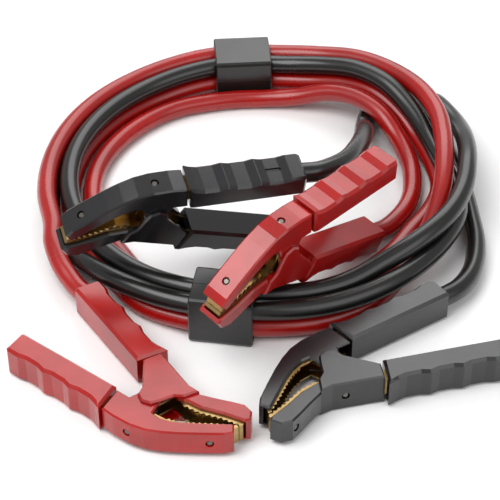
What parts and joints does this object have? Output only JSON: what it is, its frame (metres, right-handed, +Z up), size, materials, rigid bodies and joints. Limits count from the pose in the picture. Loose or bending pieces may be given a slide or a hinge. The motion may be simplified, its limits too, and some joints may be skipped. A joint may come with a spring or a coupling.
{
  "type": "vehicle jump lead set",
  "caption": "Red and black jump leads wound in one ring, held by clips, each end in a sprung clamp with toothed jaws",
  "frame": {"origin": "the bottom centre of the box round the clamps and the clips, on the floor that they lie on; the cables are left out of that box", "axes": "+Z up, +X to the right and +Y away from the viewer of the picture, millimetres in the source and metres here"},
  "size_m": [0.303, 0.3904, 0.0941],
  "materials": {
    "red_plastic": "satin",
    "black_plastic": "satin",
    "plated_jaw": "plated, a little worn",
    "zinc_steel": "zinc plated",
    "clip_plastic": "matte",
    "red_sheath": "smooth soft PVC",
    "black_sheath": "smooth soft PVC"
  },
  "bodies": {
    "lead": {"red_cable": "red_sheath", "black_cable": "black_sheath", "clip_front_half_1": "clip_plastic", "clip_front_half_2": "clip_plastic", "clip_back_half_1": "clip_plastic", "clip_back_half_2": "clip_plastic", "front_left_shell_b": "red_plastic", "front_left_jaw_b": "plated_jaw", "front_left_grip_b": "red_plastic", "front_left_rivet_3": "zinc_steel", "front_left_rivet_4": "zinc_steel", "front_left_pin": "zinc_steel", "front_left_spring": "zinc_steel", "front_right_shell_a": "black_plastic", "front_right_jaw_a": "plated_jaw", "front_right_grip_a": "black_plastic", "front_right_rivet_1": "zinc_steel", "front_right_rivet_2": "zinc_steel", "front_right_pin": "zinc_steel", "front_right_spring": "zinc_steel", "rear_shell_a": "black_plastic", "rear_jaw_a": "plated_jaw", "rear_grip_a": "black_plastic", "rear_rivet_1": "zinc_steel", "rear_rivet_2": "zinc_steel", "rear_pin": "zinc_steel", "rear_spring": "zinc_steel", "middle_shell_b": "red_plastic", "middle_jaw_b": "plated_jaw", "middle_grip_b": "red_plastic", "middle_rivet_3": "zinc_steel", "middle_rivet_4": "zinc_steel", "middle_pin": "zinc_steel", "middle_spring": "zinc_steel"},
    "front_left_free_arm": {"front_left_shell_a": "red_plastic", "front_left_jaw_a": "plated_jaw", "front_left_grip_a": "red_plastic", "front_left_rivet_1": "zinc_steel", "front_left_rivet_2": "zinc_steel"},
    "front_right_free_arm": {"front_right_shell_b": "black_plastic", "front_right_jaw_b": "plated_jaw", "front_right_grip_b": "black_plastic", "front_right_rivet_3": "zinc_steel", "front_right_rivet_4": "zinc_steel"},
    "rear_free_arm": {"rear_shell_b": "black_plastic", "rear_jaw_b": "plated_jaw", "rear_grip_b": "black_plastic", "rear_rivet_3": "zinc_steel", "rear_rivet_4": "zinc_steel"},
    "middle_free_arm": {"middle_shell_a": "red_plastic", "middle_jaw_a": "plated_jaw", "middle_grip_a": "red_plastic", "middle_rivet_1": "zinc_steel", "middle_rivet_2": "zinc_steel"}
  },
  "joints": [
    {"name": "front_left_hinge", "type": "hinge", "parent": "lead", "child": "front_left_free_arm", "pos_m": [-0.06244, -0.16461, 0.0108], "axis": [0, 0, -1], "range_deg": [0, 18], "stiffness_Nm_per_rad": 4, "springref_deg": -20.05},
    {"name": "front_right_hinge", "type": "hinge", "parent": "lead", "child": "front_right_free_arm", "pos_m": [0.04396, -0.13491, 0.0108], "axis": [0, 0, 1], "range_deg": [0, 18], "stiffness_Nm_per_rad": 4, "springref_deg": -20.05},
    {"name": "rear_hinge", "type": "hinge", "parent": "lead", "child": "rear_free_arm", "pos_m": [-0.06534, -0.04921, 0.0671], "axis": [0.2914, -0.9181, -0.2686], "range_deg": [0, 18], "stiffness_Nm_per_rad": 4, "springref_deg": -20.05},
    {"name": "middle_hinge", "type": "hinge", "parent": "lead", "child": "middle_free_arm", "pos_m": [0.01246, -0.07891, 0.0597], "axis": [-0.7126, 0.6879, 0.1379], "range_deg": [0, 18], "stiffness_Nm_per_rad": 4, "springref_deg": -20.05}
  ]
}
